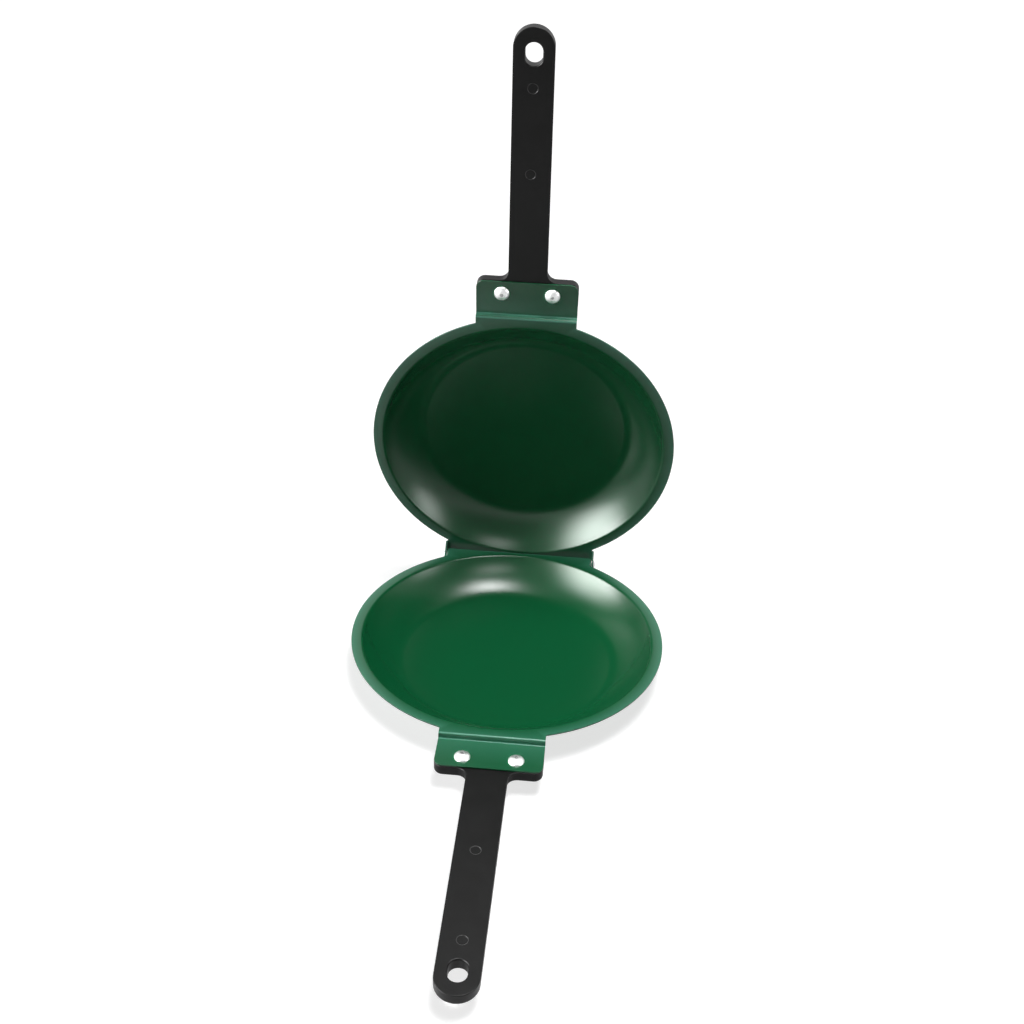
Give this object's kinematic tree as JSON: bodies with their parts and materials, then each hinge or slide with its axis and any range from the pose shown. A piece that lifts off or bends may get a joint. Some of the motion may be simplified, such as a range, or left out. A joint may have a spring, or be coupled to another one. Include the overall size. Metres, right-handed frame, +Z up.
{
  "type": "double sided flip pan",
  "caption": "Shallow round coated pans joined by a rear hinge, each with a flat rim and a riveted moulded handle, folding shut face to face.",
  "frame": {"origin": "middle of the lower pan's flat underside, on the table", "axes": "+X along the hinge axis, +Y from the lower handle towards the hinge, +Z up"},
  "size_m": [0.19, 0.3756, 0.3684],
  "materials": {
    "coated_steel": "satin green non-stick coating on pressed sheet steel",
    "moulded_handle": "black thermoset moulding, lightly satin",
    "aluminium_rivet": "bright headed rivet",
    "steel_rivet": "plain steel rivet"
  },
  "bodies": {
    "lower_half": {"lower_pan": "coated_steel", "lower_handle": "moulded_handle", "lower_rivet_left": "aluminium_rivet", "lower_rivet_right": "aluminium_rivet"},
    "upper_half": {"upper_pan": "coated_steel", "upper_handle": "moulded_handle", "upper_rivet_left": "aluminium_rivet", "upper_rivet_right": "aluminium_rivet", "hinge_rivet_left": "steel_rivet", "hinge_rivet_right": "steel_rivet"}
  },
  "joints": [
    {"name": "hinge", "type": "hinge", "parent": "lower_half", "child": "upper_half", "pos_m": [0, 0.0906, 0.015], "axis": [-1, 0, 0], "range_deg": [-81, 99]}
  ]
}
